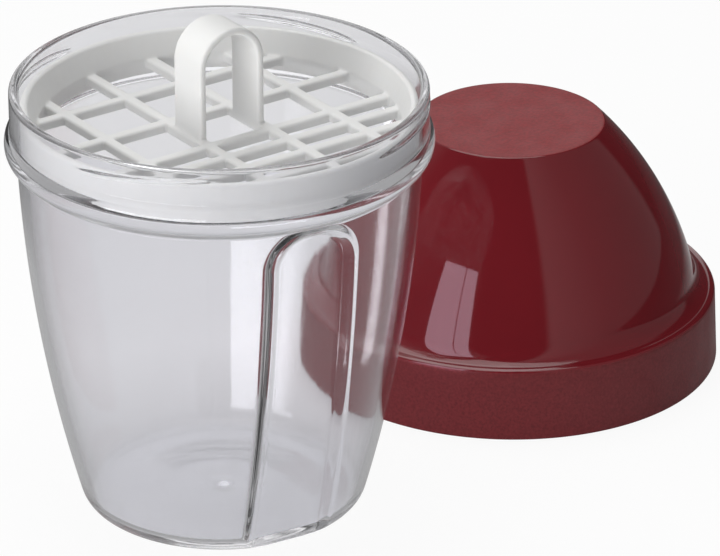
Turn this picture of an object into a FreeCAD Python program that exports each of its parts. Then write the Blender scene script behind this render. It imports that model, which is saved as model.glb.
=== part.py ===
import FreeCAD, Part
import math
import os
import Sketcher

# A hand shaker in three mouldings: a clear beaker, a strainer insert that rests on the
# beaker's inner ledge, and a screw lid that stands beside it on its open side.
# Millimetres. The origin is the middle of the beaker's foot, +Z is up, the flute faces -Y.

SIZES = {
    # beaker
    "rim_height": 110.0,
    "wall": 2.2,
    "rim_round": 0.9,
    "bead_stand": 3.0,
    "neck_step": 1.4,
    "bead_round": 4.5,
    "bead_drop": 13.7,
    "bead_blend": 1.2,
    "body_top_radius": 49.4,
    "base_radius": 35.3,
    "wall_bow": 390.0,
    "base_corner": 4.0,
    "foot_width": 5.0,
    "foot_recess": 0.8,
    "floor": 2.6,
    "inner_corner": 6.0,
    "gate_radius": 1.3,
    "gate_height": 0.4,
    # grip flute in the beaker's wall
    "flute_width": 21.4,
    "flute_depth": 2.8,
    "flute_drop": 19.4,
    "flute_round": 9.5,
    # thread ribs round the neck
    "rib_height": 1.0,
    "rib_root": 0.5,
    "rib_base": 2.2,
    "rib_tip": 0.8,
    "rib_drop": 5.3,
    "rib_rise": 3.65,
    "rib_span": 64.0,
    "rib_fade": 1.2,
    "rib_bearing": 10.0,
    # strainer
    "ring_clearance": 0.4,
    "ring_drop": 4.1,
    "ring_height": 8.5,
    "ring_skirt": 1.8,
    "ring_edge": 2.1,
    "ring_foot": 4.0,
    "ring_round": 0.9,
    "bar_width": 3.1,
    "bar_height": 2.4,
    "bar_round": 0.7,
    "coarse_pitch": 18.0,
    "fine_pitch": 7.8,
    "strap_width": 11.6,
    "strap_thickness": 1.9,
    "strap_round": 0.6,
    "handle_rise": 26.8,
    "strainer_turn": 6.3,
    # lid
    "lid_clearance": 0.4,
    "lid_wall": 2.0,
    "collar_edge": 1.5,
    "collar_round": 1.4,
    "skirt_depth": 16.5,
    "ledge_wall": 2.2,
    "dome_ledge": 4.95,
    "dome_flare": 1.7,
    "dome_top_radius": 24.1,
    "dome_bow": 94.0,
    "dome_round": 1.2,
    "dome_blend": 6.0,
    "lid_height": 65.3,
    "lug_gap": 0.35,
    "lug_root": 0.6,
    "lug_base": 2.0,
    "lug_tip": 1.0,
    "lug_span": 18.0,
    "lug_drop": 5.9,
    "lid_gap": 2.0,
    "lid_bearing": 18.6,
}
STARTS = 4
FINE_BARS = 4
COARSE_PLACES = (-1.5, -0.5, 0.5, 1.5)
OVERCUT = 5.0

# Places that several sub-parts share, as expressions of the sheet's cells
BEAD_HEIGHT = "dims.rim_height - dims.bead_drop"
BEAD_RADIUS = "(dims.body_top_radius + dims.bead_stand)"
BEAD_CENTRE = f"({BEAD_RADIUS} - dims.bead_round)"
NECK_RADIUS = f"({BEAD_RADIUS} - dims.neck_step)"
BODY_TOP = f"{BEAD_HEIGHT} - sqrt(dims.bead_round ^ 2 - (dims.body_top_radius - {BEAD_CENTRE}) ^ 2)"
NECK_FOOT = f"{BEAD_HEIGHT} + sqrt(dims.bead_round ^ 2 - ({NECK_RADIUS} - {BEAD_CENTRE}) ^ 2)"
NECK_BORE = f"{NECK_RADIUS} - dims.wall"
GRID_HEIGHT = "dims.rim_height - dims.ring_drop - dims.ring_height"
LEDGE = f"{GRID_HEIGHT} - dims.ring_skirt"
FLOOR_TOP = "dims.foot_recess + dims.floor"
FLUTE_TOP = "dims.rim_height - dims.flute_drop"
RING_RADIUS = f"{NECK_BORE} - dims.ring_clearance"
STRAP_GAP = "(dims.coarse_pitch - dims.bar_width) / 2"
COLLAR_MOUTH = f"{BEAD_RADIUS} + dims.lid_clearance"
COLLAR_THROAT = f"{NECK_RADIUS} + dims.rib_height + dims.lid_clearance"
COLLAR_EDGE = f"{COLLAR_THROAT} + dims.collar_edge"
DOME_BASE = f"({COLLAR_EDGE} - dims.dome_ledge)"
COLLAR_HEIGHT = "dims.skirt_depth + dims.ledge_wall"
DOME_FOOT = f"{COLLAR_HEIGHT} + dims.dome_flare"
LID_DISTANCE = f"{BEAD_RADIUS} + {COLLAR_MOUTH} + dims.lid_wall + dims.lid_gap"
THREAD_PITCH = "dims.rib_rise * 360 / dims.rib_span"

doc = FreeCAD.newDocument("shaker")
sheet = doc.addObject("Spreadsheet::Sheet", "dims")


def fill_sheet():
    for row, (alias, value) in enumerate(SIZES.items(), start=1):
        sheet.set(f"A{row}", alias)
        sheet.set(f"B{row}", str(value))
        sheet.setAlias(f"B{row}", alias)
    doc.recompute()


def size(text):
    """The number that an expression of the sheet's cells gives now."""
    return float(sheet.evalExpression(text))


def new_body(label):
    body = doc.addObject("PartDesign::Body", label)
    body.Label = label
    return body


def plane(body, role):
    return next(item for item in body.Origin.OriginFeatures if item.Role == role)


def new_sketch(body, name, role, offset="0"):
    """A sketch on one of the body's own origin planes, raised from it by an expression."""
    sketch = body.newObject("Sketcher::SketchObject", name)
    sketch.AttachmentSupport = [(plane(body, role), "")]
    sketch.MapMode = "FlatFace"
    if offset != "0":
        sketch.setExpression("AttachmentOffset.Base.z", offset)
    return sketch


def pin(sketch, edge, end, across, up):
    """Holds one end of an edge at a place given by two expressions."""
    for kind, text, axis in (("DistanceX", across, -2), ("DistanceY", up, -1)):
        if text == "0":
            sketch.addConstraint(Sketcher.Constraint("PointOnObject", edge, end, axis))
            continue
        value = size(text)
        ends = (-1, 1, edge, end) if value > 0 else (edge, end, -1, 1)
        index = sketch.addConstraint(Sketcher.Constraint(kind, *ends, abs(value)))
        sketch.setExpression(f"Constraints[{index}]", text if value > 0 else f"-({text})")


def arc_middle(start, stop, radius, side):
    """The middle point of an arc from start to stop that bulges to the given side of its chord."""
    chord = stop - start
    sagitta = radius - math.sqrt(radius ** 2 - (chord.Length / 2) ** 2)
    across = FreeCAD.Vector(chord.y, -chord.x, 0).normalize()
    return (start + stop) * 0.5 + across * (sagitta * side)


def outline(sketch, corners, closed=True):
    """Draws an outline through corners (across, up) or (across, up, radius, side).

    A corner with a radius is reached by an arc, which bulges to the right of its way for
    side 1 and to the left for side -1.
    """
    places = [FreeCAD.Vector(size(corner[0]), size(corner[1]), 0) for corner in corners]
    order = list(range(1, len(corners))) + ([0] if closed else [])
    ends = []
    for stop in order:
        start = stop - 1
        corner = corners[stop]
        if len(corner) == 2:
            edge = sketch.addGeometry(Part.LineSegment(places[start], places[stop]))
        else:
            middle = arc_middle(places[start], places[stop], size(corner[2]), corner[3])
            edge = sketch.addGeometry(Part.Arc(places[start], middle, places[stop]))
            index = sketch.addConstraint(Sketcher.Constraint("Radius", edge, size(corner[2])))
            sketch.setExpression(f"Constraints[{index}]", corner[2])
        forward = sketch.getPoint(edge, 1).distanceToPoint(places[start]) < 1e-6
        ends.append((edge, 1 if forward else 2, 2 if forward else 1))
    for (edge, _, tail), (after, head, _) in zip(ends, ends[1:] + (ends[:1] if closed else [])):
        sketch.addConstraint(Sketcher.Constraint("Coincident", edge, tail, after, head))
    for stop, (edge, _, tail) in zip(order, ends):
        pin(sketch, edge, tail, *corners[stop][:2])
    if not closed:
        pin(sketch, ends[0][0], ends[0][1], *corners[0][:2])


def revolve(body, sketch, name="turned"):
    feature = body.newObject("PartDesign::Revolution", name)
    feature.Profile = sketch
    feature.ReferenceAxis = (sketch, ["V_Axis"])
    feature.Angle = 360
    doc.recompute()
    return feature


def pad(body, sketch, length, name, midplane=False):
    feature = body.newObject("PartDesign::Pad", name)
    feature.Profile = sketch
    feature.Midplane = midplane
    feature.setExpression("Length", length)
    doc.recompute()
    return feature


def groove(body, sketch, name, before):
    """A turned cut, which has to take something away."""
    feature = body.newObject("PartDesign::Groove", name)
    feature.Profile = sketch
    feature.ReferenceAxis = (sketch, ["V_Axis"])
    feature.Angle = 360
    doc.recompute()
    if feature.Shape.Volume > before.Shape.Volume - 1e-3:
        raise RuntimeError(f"{name} cut nothing")
    return feature


def ring_edges(feature, places):
    """Names of a turned shape's round edges that lie at the given (radius, height) places."""
    names = []
    for number, edge in enumerate(feature.Shape.Edges, start=1):
        if not isinstance(edge.Curve, Part.Circle):
            continue
        spot = (edge.Curve.Radius, edge.Curve.Center.z)
        if any(math.dist(spot, (size(radius), size(height))) < 1e-3 for radius, height in places):
            names.append(f"Edge{number}")
    if len(names) != len(places):
        raise RuntimeError(f"{feature.Name}: {len(names)} of {len(places)} edges found")
    return names


def round_edges(body, feature, places, radius, name):
    fillet = body.newObject("PartDesign::Fillet", name)
    fillet.Base = (feature, ring_edges(feature, places))
    fillet.setExpression("Radius", radius)
    doc.recompute()
    return fillet


def thread(body, sketch, span, fade, name):
    """A helical rib swept from its section, repeated evenly round the axis."""
    rib = body.newObject("PartDesign::AdditiveHelix", name)
    rib.Profile = sketch
    rib.ReferenceAxis = (sketch, ["V_Axis"])
    rib.Mode = "pitch-height-angle"
    rib.setExpression("Pitch", THREAD_PITCH)
    rib.setExpression("Height", f"{THREAD_PITCH} * {span} / 360")
    if fade != "0":
        rib.setExpression("Angle", f"-atan({fade} / dims.rib_rise)")
    doc.recompute()
    ring = body.newObject("PartDesign::PolarPattern", f"{name}_starts")
    ring.Originals = [rib]
    ring.Axis = (sketch, ["V_Axis"])
    ring.Angle = 360
    ring.Occurrences = STARTS
    body.Tip = ring
    doc.recompute()
    return ring


def wall_radius(height, inset):
    """The bowed wall's radius at a height, moved inwards by an inset: an arc of the bow's radius."""
    run = "(dims.body_top_radius - dims.base_radius)"
    rise = f"({BODY_TOP})"
    lever = f"sqrt(dims.wall_bow ^ 2 / ({run} ^ 2 + {rise} ^ 2) - 0.25)"
    centre_across = f"((dims.base_radius + dims.body_top_radius) / 2 - {lever} * {rise})"
    centre_up = f"({rise} / 2 + {lever} * {run})"
    return f"{centre_across} + sqrt(dims.wall_bow ^ 2 - ({height} - {centre_up}) ^ 2) - {inset}"


def beaker_blank():
    """The beaker as a solid block: foot, bowed wall, bead, neck and thread ribs."""
    body = new_body("beaker_blank")
    sketch = new_sketch(body, "blank_section", "XZ_Plane")
    recess = "dims.base_radius - dims.base_corner - dims.foot_width"
    outline(sketch, [
        ("0", "dims.foot_recess"),
        (recess, "dims.foot_recess"),
        (recess, "0"),
        ("dims.base_radius", "0"),
        ("dims.body_top_radius", BODY_TOP, "dims.wall_bow", 1),
        (NECK_RADIUS, NECK_FOOT, "dims.bead_round", 1),
        (NECK_RADIUS, "dims.rim_height - dims.rim_round"),
        (f"{NECK_RADIUS} - dims.rim_round", "dims.rim_height", "dims.rim_round", 1),
        ("0", "dims.rim_height"),
    ])
    turned = revolve(body, sketch)
    corner = round_edges(body, turned, [("dims.base_radius", "0")], "dims.base_corner", "base_round")
    waists = [("dims.body_top_radius", BODY_TOP), (NECK_RADIUS, NECK_FOOT)]
    round_edges(body, corner, waists, "dims.bead_blend", "bead_rounds")
    section = new_sketch(body, "rib_section", "XZ_Plane")
    turn_axis = FreeCAD.Vector(0, 1, 0)
    section.AttachmentOffset = FreeCAD.Placement(FreeCAD.Vector(), turn_axis, size("dims.rib_bearing"))
    section.setExpression("AttachmentOffset.Rotation.Angle", "dims.rib_bearing")
    middle = "dims.rim_height - dims.rib_drop"
    root = f"{NECK_RADIUS} - dims.rib_root"
    crest = f"{NECK_RADIUS} + dims.rib_height"
    outline(section, [
        (root, f"{middle} - dims.rib_base / 2"),
        (crest, f"{middle} - dims.rib_tip / 2"),
        (crest, f"{middle} + dims.rib_tip / 2"),
        (root, f"{middle} + dims.rib_base / 2"),
    ])
    thread(body, section, "dims.rib_span", "dims.rib_fade", "thread_rib")
    return body


def beaker_cavity():
    """The room inside the beaker, with the ledge that carries the strainer."""
    body = new_body("beaker_cavity")
    sketch = new_sketch(body, "cavity_section", "XZ_Plane")
    foot = wall_radius(FLOOR_TOP, "dims.wall")
    top = "dims.body_top_radius - dims.wall"
    bore_edge = f"{NECK_BORE} + dims.rim_round"
    outline(sketch, [
        ("0", FLOOR_TOP),
        (foot, FLOOR_TOP),
        (top, BODY_TOP, "dims.wall_bow", 1),
        (top, LEDGE),
        (NECK_BORE, LEDGE),
        (NECK_BORE, "dims.rim_height - dims.rim_round"),
        (bore_edge, "dims.rim_height", "dims.rim_round", -1),
        (bore_edge, f"dims.rim_height + {OVERCUT}"),
        ("0", f"dims.rim_height + {OVERCUT}"),
    ])
    turned = revolve(body, sketch)
    rounded = round_edges(body, turned, [(foot, FLOOR_TOP)], "dims.inner_corner", "floor_round")
    gate = new_sketch(body, "gate_section", "XZ_Plane")
    outline(gate, [
        ("0", f"{FLOOR_TOP} - {OVERCUT}"),
        ("dims.gate_radius", f"{FLOOR_TOP} - {OVERCUT}"),
        ("dims.gate_radius", f"{FLOOR_TOP} + dims.gate_height"),
        ("0", f"{FLOOR_TOP} + dims.gate_height"),
    ])
    groove(body, gate, "gate_mark", rounded)
    return body


def flute_block(name, margin, depth):
    """The arched block outside the flute's floor, which lies a depth inside the wall's line."""
    body = new_body(name)
    arch = new_sketch(body, f"{name}_arch", "XZ_Plane")
    half = f"(dims.flute_width / 2 + {margin})"
    top = f"({FLUTE_TOP} + {margin})"
    bend = f"(dims.flute_round + {margin})"
    outline(arch, [
        (f"-{half}", f"-{OVERCUT}"),
        (half, f"-{OVERCUT}"),
        (half, f"{top} - {bend}"),
        (f"{half} - {bend}", top, bend, 1),
        (f"{bend} - {half}", top),
        (f"-{half}", f"{top} - {bend}", bend, 1),
    ])
    block = pad(body, arch, f"{BEAD_RADIUS} + {OVERCUT}", f"{name}_pad")
    core = new_sketch(body, f"{name}_floor", "YZ_Plane")
    foot = f"dims.base_radius - {depth}"
    crown = f"dims.body_top_radius - {depth}"
    outline(core, [
        ("0", "0"),
        ("0", "dims.rim_height"),
        (f"-({crown})", "dims.rim_height"),
        (f"-({crown})", BODY_TOP),
        (f"-({foot})", "0", "dims.wall_bow", 1),
    ])
    before = block.Shape.Volume
    floor = body.newObject("PartDesign::Pocket", f"{name}_pocket")
    floor.Profile = core
    floor.Type = "ThroughAll"
    floor.Midplane = True
    doc.recompute()
    if floor.Shape.Volume > before - 1:
        raise RuntimeError(f"{name}: the floor cut nothing")
    return body


def cut(base, tool, label):
    feature = doc.addObject("Part::Cut", label)
    feature.Base = base
    feature.Tool = tool
    feature.Label = label
    doc.recompute()
    return feature


def make_beaker():
    """The clear beaker, with a wall that stays even where the flute is pressed in."""
    recess = flute_block("flute_recess", "0", "dims.flute_depth")
    swell = flute_block("flute_swell", "dims.wall", "(dims.flute_depth + dims.wall)")
    cavity = cut(beaker_cavity(), swell, "cavity_with_swell")
    notched = cut(beaker_blank(), recess, "blank_with_flute")
    return cut(notched, cavity, "beaker")


def bar_section(sketch, middle):
    """One grid bar's section: flat below, rounded along both upper edges."""
    left = f"{middle} - dims.bar_width / 2"
    right = f"{middle} + dims.bar_width / 2"
    side = "dims.bar_height - dims.bar_round"
    outline(sketch, [
        (left, "0"),
        (right, "0"),
        (right, side),
        (f"{right} - dims.bar_round", "dims.bar_height", "dims.bar_round", 1),
        (f"{left} + dims.bar_round", "dims.bar_height"),
        (left, side, "dims.bar_round", 1),
    ])


def strainer_ring(body):
    section = new_sketch(body, "ring_section", "XZ_Plane")
    bore = f"{RING_RADIUS} - dims.ring_edge"
    foot = f"{RING_RADIUS} - dims.ring_foot"
    shoulder = "dims.ring_height - dims.ring_round"
    outline(section, [
        (RING_RADIUS, "-dims.ring_skirt"),
        (RING_RADIUS, shoulder),
        (f"{RING_RADIUS} - dims.ring_round", "dims.ring_height", "dims.ring_round", 1),
        (f"{bore} + dims.ring_round", "dims.ring_height"),
        (bore, shoulder, "dims.ring_round", 1),
        (foot, "dims.bar_height"),
        (foot, "-dims.ring_skirt"),
    ])
    return revolve(body, section, "ring")


def strainer_grid(body):
    """Coarse bars both ways, and fine bars that fill one half in one direction."""
    length = f"2 * ({RING_RADIUS})"
    down = new_sketch(body, "down_bars", "XZ_Plane")
    for place in COARSE_PLACES:
        bar_section(down, f"{place} * dims.coarse_pitch")
    pad(body, down, length, "down_grid", midplane=True)
    across = new_sketch(body, "across_bars", "YZ_Plane")
    for place in COARSE_PLACES[1:]:
        bar_section(across, f"{place} * dims.coarse_pitch")
    for number in range(1, FINE_BARS + 1):
        bar_section(across, f"-0.5 * dims.coarse_pitch - {number} * dims.fine_pitch")
    grid = pad(body, across, length, "across_grid", midplane=True)
    trim = new_sketch(body, "trim_section", "XZ_Plane")
    outline(trim, [
        (RING_RADIUS, f"-{OVERCUT}"),
        (f"2 * ({RING_RADIUS})", f"-{OVERCUT}"),
        (f"2 * ({RING_RADIUS})", f"dims.bar_height + {OVERCUT}"),
        (RING_RADIUS, f"dims.bar_height + {OVERCUT}"),
    ])
    groove(body, trim, "trim", grid)


def strainer_handle(body):
    """A strap bent into an arch, its feet sunk into the two middle bars."""
    foot = "dims.bar_height / 2"
    line = f"({STRAP_GAP} + dims.strap_thickness / 2)"
    spring = f"dims.bar_height + dims.handle_rise - {STRAP_GAP} - dims.strap_thickness"
    spine = new_sketch(body, "strap_line", "XZ_Plane")
    outline(spine, [
        (line, foot),
        (line, spring),
        ("0", f"{spring} + {line}", line, 1),
        (f"-{line}", spring, line, 1),
        (f"-{line}", foot),
    ], closed=False)
    section = new_sketch(body, "strap_section", "XY_Plane", foot)
    inner = STRAP_GAP
    outer = f"({STRAP_GAP} + dims.strap_thickness)"
    half = "dims.strap_width / 2"
    turn = "dims.strap_round"
    outline(section, [
        (inner, f"{turn} - {half}"),
        (f"{inner} + {turn}", f"-{half}", turn, 1),
        (f"{outer} - {turn}", f"-{half}"),
        (outer, f"{turn} - {half}", turn, 1),
        (outer, f"{half} - {turn}"),
        (f"{outer} - {turn}", half, turn, 1),
        (f"{inner} + {turn}", half),
        (inner, f"{half} - {turn}", turn, 1),
    ])
    doc.recompute()
    strap = body.newObject("PartDesign::AdditivePipe", "strap")
    strap.Profile = section
    strap.Spine = (spine, ["Edge1", "Edge2", "Edge3", "Edge4"])
    doc.recompute()


def make_strainer():
    body = new_body("strainer")
    strainer_ring(body)
    strainer_grid(body)
    strainer_handle(body)
    body.Placement.Rotation = FreeCAD.Rotation(FreeCAD.Vector(0, 0, 1), size("dims.strainer_turn"))
    body.setExpression("Placement.Rotation.Angle", "dims.strainer_turn")
    body.setExpression("Placement.Base.z", GRID_HEIGHT)
    return body


def make_lid():
    body = new_body("lid")
    section = new_sketch(body, "lid_section", "XZ_Plane")
    mouth = COLLAR_MOUTH
    outline(section, [
        (mouth, "0"),
        (f"{mouth} + dims.lid_wall", "0"),
        (COLLAR_EDGE, COLLAR_HEIGHT),
        (DOME_BASE, DOME_FOOT),
        ("dims.dome_top_radius", "dims.lid_height", "dims.dome_bow", 1),
        ("0", "dims.lid_height"),
        ("0", "dims.lid_height - dims.lid_wall"),
        ("dims.dome_top_radius - dims.lid_wall / 2", "dims.lid_height - dims.lid_wall"),
        (f"{DOME_BASE} - dims.lid_wall", "dims.skirt_depth", "dims.dome_bow", -1),
        (COLLAR_THROAT, "dims.skirt_depth"),
    ])
    turned = revolve(body, section)
    top_edge = [("dims.dome_top_radius", "dims.lid_height")]
    topped = round_edges(body, turned, top_edge, "dims.dome_round", "top_round")
    collar_rim = [(COLLAR_EDGE, COLLAR_HEIGHT)]
    rimmed = round_edges(body, topped, collar_rim, "dims.collar_round", "collar_rim_round")
    dome_foot = [(DOME_BASE, DOME_FOOT)]
    round_edges(body, rimmed, dome_foot, "dims.dome_blend", "dome_foot_round")
    lug = new_sketch(body, "lug_section", "XZ_Plane")
    middle = "dims.skirt_depth - dims.lug_drop"
    crest = f"{NECK_RADIUS} + dims.lug_gap"
    root = f"{COLLAR_MOUTH} + dims.lug_root"
    outline(lug, [
        (root, f"{middle} - dims.lug_base / 2"),
        (root, f"{middle} + dims.lug_base / 2"),
        (crest, f"{middle} + dims.lug_tip / 2"),
        (crest, f"{middle} - dims.lug_tip / 2"),
    ])
    thread(body, lug, "dims.lug_span", "0", "lug")
    body.setExpression("Placement.Base.x", f"({LID_DISTANCE}) * cos(dims.lid_bearing * 1deg)")
    body.setExpression("Placement.Base.y", f"({LID_DISTANCE}) * sin(dims.lid_bearing * 1deg)")
    return body


def check_document(parts):
    for item in doc.Objects:
        if {"Invalid", "Error"} & set(item.State):
            raise RuntimeError(f"{item.Name} failed: {item.State}")
    for part in parts:
        if part.Shape.isNull() or not part.Shape.isValid() or len(part.Shape.Solids) != 1:
            raise RuntimeError(f"{part.Label} isn't one sound solid")


def main():
    fill_sheet()
    parts = [make_beaker(), make_strainer(), make_lid()]
    doc.recompute()
    check_document(parts)
    os.makedirs("parts", exist_ok=True)
    for part in parts:
        part.Shape.exportStep(f"parts/{part.Label}.step")
        box = part.Shape.BoundBox
        print(part.Label, round(part.Shape.Volume, 1), box)


main()
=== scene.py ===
"""The looks of a hand mixing shaker: a clear beaker, its strainer grid and its screw lid."""

import math

import bpy
import numpy as np
from bpy.props import FloatProperty, FloatVectorProperty, IntProperty, PointerProperty
from mathutils import Matrix, Vector


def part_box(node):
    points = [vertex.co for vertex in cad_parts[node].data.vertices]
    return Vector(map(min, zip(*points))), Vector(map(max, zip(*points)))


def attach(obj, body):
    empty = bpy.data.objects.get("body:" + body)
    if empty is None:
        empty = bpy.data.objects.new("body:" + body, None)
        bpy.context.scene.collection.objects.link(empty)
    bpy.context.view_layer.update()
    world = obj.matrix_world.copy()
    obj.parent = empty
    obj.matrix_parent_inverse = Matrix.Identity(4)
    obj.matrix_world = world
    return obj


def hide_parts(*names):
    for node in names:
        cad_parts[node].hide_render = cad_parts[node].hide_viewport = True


bl_info = {
    "name": "Mixing Shaker",
    "version": (1, 0, 0),
    "blender": (4, 5, 0),
    "location": "View3D > Sidebar > Shaker",
    "description": "Builds a clear mixing beaker, its strainer grid and its domed screw lid",
    "category": "Add Mesh",
}

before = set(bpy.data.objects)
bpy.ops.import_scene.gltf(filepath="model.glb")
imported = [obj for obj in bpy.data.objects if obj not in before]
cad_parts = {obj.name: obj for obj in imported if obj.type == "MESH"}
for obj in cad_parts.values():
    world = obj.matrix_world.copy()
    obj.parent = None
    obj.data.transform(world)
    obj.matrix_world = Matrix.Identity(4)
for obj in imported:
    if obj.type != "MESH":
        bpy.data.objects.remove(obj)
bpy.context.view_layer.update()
RIM_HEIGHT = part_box("beaker")[1].z
LID_CENTRE = sum(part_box("lid"), Vector()) / 2
LID_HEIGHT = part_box("lid")[1].z
MM = 0.001
FULL_TURN = 2 * math.pi
# Roundings along the crests and the roots of the thread ribs and lugs
CREST_BLEND = 0.2 * MM
ROOT_BLEND = 0.12 * MM
# The range that most values of a noise lie in
NOISE_LOW = 0.3
NOISE_HIGH = 0.7
# Refractive index of the clear plastic and of the coloured ones
CLEAR_IOR = 1.55
PLASTIC_IOR = 1.5


def length(name, description, millimetres):
    return FloatProperty(
        name=name, description=description, default=millimetres * MM, unit="LENGTH", precision=4
    )


def angle(name, description, degrees):
    return FloatProperty(
        name=name, description=description, default=math.radians(degrees), subtype="ANGLE"
    )


def level(name, description, value):
    return FloatProperty(name=name, description=description, default=value, min=0.0)


def colour(name, description, value):
    return FloatVectorProperty(
        name=name, description=description, default=value, size=3, subtype="COLOR", min=0.0, max=1.0
    )


class BeakerSizes(bpy.types.PropertyGroup):
    """Sizes of the clear beaker."""

    wall: length("Wall", "Thickness of the wall", 2.2)
    rim_round: length("Rim round", "Rounding of the rim's two edges", 0.9)
    body_top_radius: length("Body top radius", "Outer radius where the wall meets the bead", 49.4)
    bead_stand: length("Bead stand", "How far the bead stands out from the body", 3.0)
    bead_round: length("Bead round", "Radius of the bead's section", 4.5)
    bead_drop: length("Bead drop", "From the rim down to the bead's middle", 13.7)
    bead_blend: length("Bead blend", "Rounding above and below the bead", 1.2)
    neck_step: length("Neck step", "How far the neck lies inside the bead", 1.4)
    base_radius: length("Base radius", "Outer radius of the wall's line at the base", 34.8)
    wall_bow: length("Wall bow", "Radius of the wall's outward bow", 390.0)
    base_corner: length("Base corner", "Rounding of the base's edge", 5.0)
    foot_width: length("Foot width", "Width of the ring that the beaker stands on", 5.0)
    foot_recess: length("Foot recess", "Hollow under the base", 0.8)
    floor: length("Floor", "Thickness of the floor", 2.0)
    inner_corner: length("Inner corner", "Rounding where the floor meets the wall", 3.2)
    ledge_drop: length("Ledge drop", "From the rim down to the strainer's ledge", 14.4)
    gate_radius: length("Gate radius", "Radius of the moulding mark on the floor", 1.6)
    gate_height: length("Gate height", "Height of the moulding mark on the floor", 0.4)
    flute_width: length("Flute width", "Width of the grip flute", 21.4)
    flute_depth: length("Flute depth", "Depth of the flute at its middle", 2.8)
    flute_drop: length("Flute drop", "From the rim down to the flute's arch", 19.4)
    flute_round: length("Flute round", "Radius of the arch's two corners", 9.5)
    flute_edge: length("Flute edge", "Width of the sloped edge round the flute", 3.2)
    swell_edge: length("Swell edge", "Width of the sloped edge of the flute's swell inside", 3.2)
    swell_margin: length("Swell margin", "How far the swell inside reaches past the flute", 1.4)
    rib_height: length("Rib height", "How far a thread rib stands out from the neck", 1.0)
    rib_root: length("Rib root", "How deep a rib's root lies in the neck", 0.5)
    rib_base: length("Rib base", "Width of a rib at its root", 2.2)
    rib_tip: length("Rib tip", "Width of a rib at its crest", 0.8)
    rib_drop: length("Rib drop", "From the rim down to a rib's start", 5.3)
    rib_rise: length("Rib rise", "How far a rib climbs", 3.65)
    rib_fade: length("Rib fade", "How far a rib's two ends sink towards the neck", 1.6)
    rib_span: angle("Rib span", "How far a rib runs round the neck", 64.0)
    rib_bearing: angle("Rib bearing", "Where the first rib starts", 10.0)
    starts: IntProperty(name="Starts", description="Number of thread ribs", default=4, min=1)


class StrainerSizes(bpy.types.PropertyGroup):
    """How the strainer's moulded edges are made."""

    turn: angle("Turn", "How far the strainer is turned in the neck", 6.3)
    grain: length("Grain", "Finest detail that the moulding keeps", 0.3)
    softening: IntProperty(name="Softening", description="Passes that round the edges", default=6)
    softness: level("Softness", "How far a pass moves each point towards its neighbours", 0.5)


class LidSizes(bpy.types.PropertyGroup):
    """Sizes of the domed screw lid."""

    wall: length("Wall", "Thickness of the dome and collar", 2.0)
    mouth_radius: length("Mouth radius", "Inner radius of the collar at its open edge", 52.8)
    throat_radius: length("Throat radius", "Inner radius of the collar at its closed end", 52.4)
    collar_edge: length("Collar edge", "Thickness of the collar at its top", 1.5)
    collar_round: length("Collar round", "Rounding of the collar's top edge", 1.4)
    lip_round: length("Lip round", "Rounding of the collar's lower edges", 0.5)
    skirt_depth: length("Skirt depth", "Depth of the room inside the collar", 16.5)
    ledge_wall: length("Ledge wall", "Thickness of the ledge between collar and dome", 2.2)
    dome_ledge: length("Dome ledge", "From the collar's edge in to the dome", 4.95)
    dome_flare: length("Dome flare", "How far the ledge rises from the collar's edge to the dome", 1.7)
    dome_top_radius: length("Dome top radius", "Radius of the flat top", 24.1)
    dome_bow: length("Dome bow", "Radius of the dome's bowed side", 94.0)
    dome_round: length("Dome round", "Rounding of the top's edge", 1.2)
    dome_blend: length("Dome blend", "Rounding at the dome's foot", 6.0)
    lug_crest: length("Lug crest", "Inner radius of the thread lugs", 51.35)
    lug_base: length("Lug base", "Width of a lug at the collar", 2.0)
    lug_tip: length("Lug tip", "Width of a lug at its crest", 1.0)
    lug_height: length("Lug height", "Height of a lug's start above the open edge", 10.6)
    lug_rise: length("Lug rise", "How far a lug climbs", 1.03)
    lug_span: angle("Lug span", "How far a lug runs round the collar", 18.0)
    lugs: IntProperty(name="Lugs", description="Number of thread lugs", default=4, min=1)


class Finishes(bpy.types.PropertyGroup):
    """Colours of the three plastics."""

    clear: colour("Clear", "Tint of the beaker", (0.945, 0.945, 0.972))
    clear_shade: colour("Clear shade", "What one skin of it leaves of lamp light", (0.965, 0.965, 0.97))
    white: colour("White", "The strainer", (0.82, 0.82, 0.81))
    red: colour("Red", "The lid's polished dome", (0.156, 0.008, 0.013))
    collar_red: colour("Collar red", "The lid's grained collar", (0.152, 0.018, 0.022))
    top_red: colour("Top red", "The lid's grained top", (0.24, 0.013, 0.017))


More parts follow.
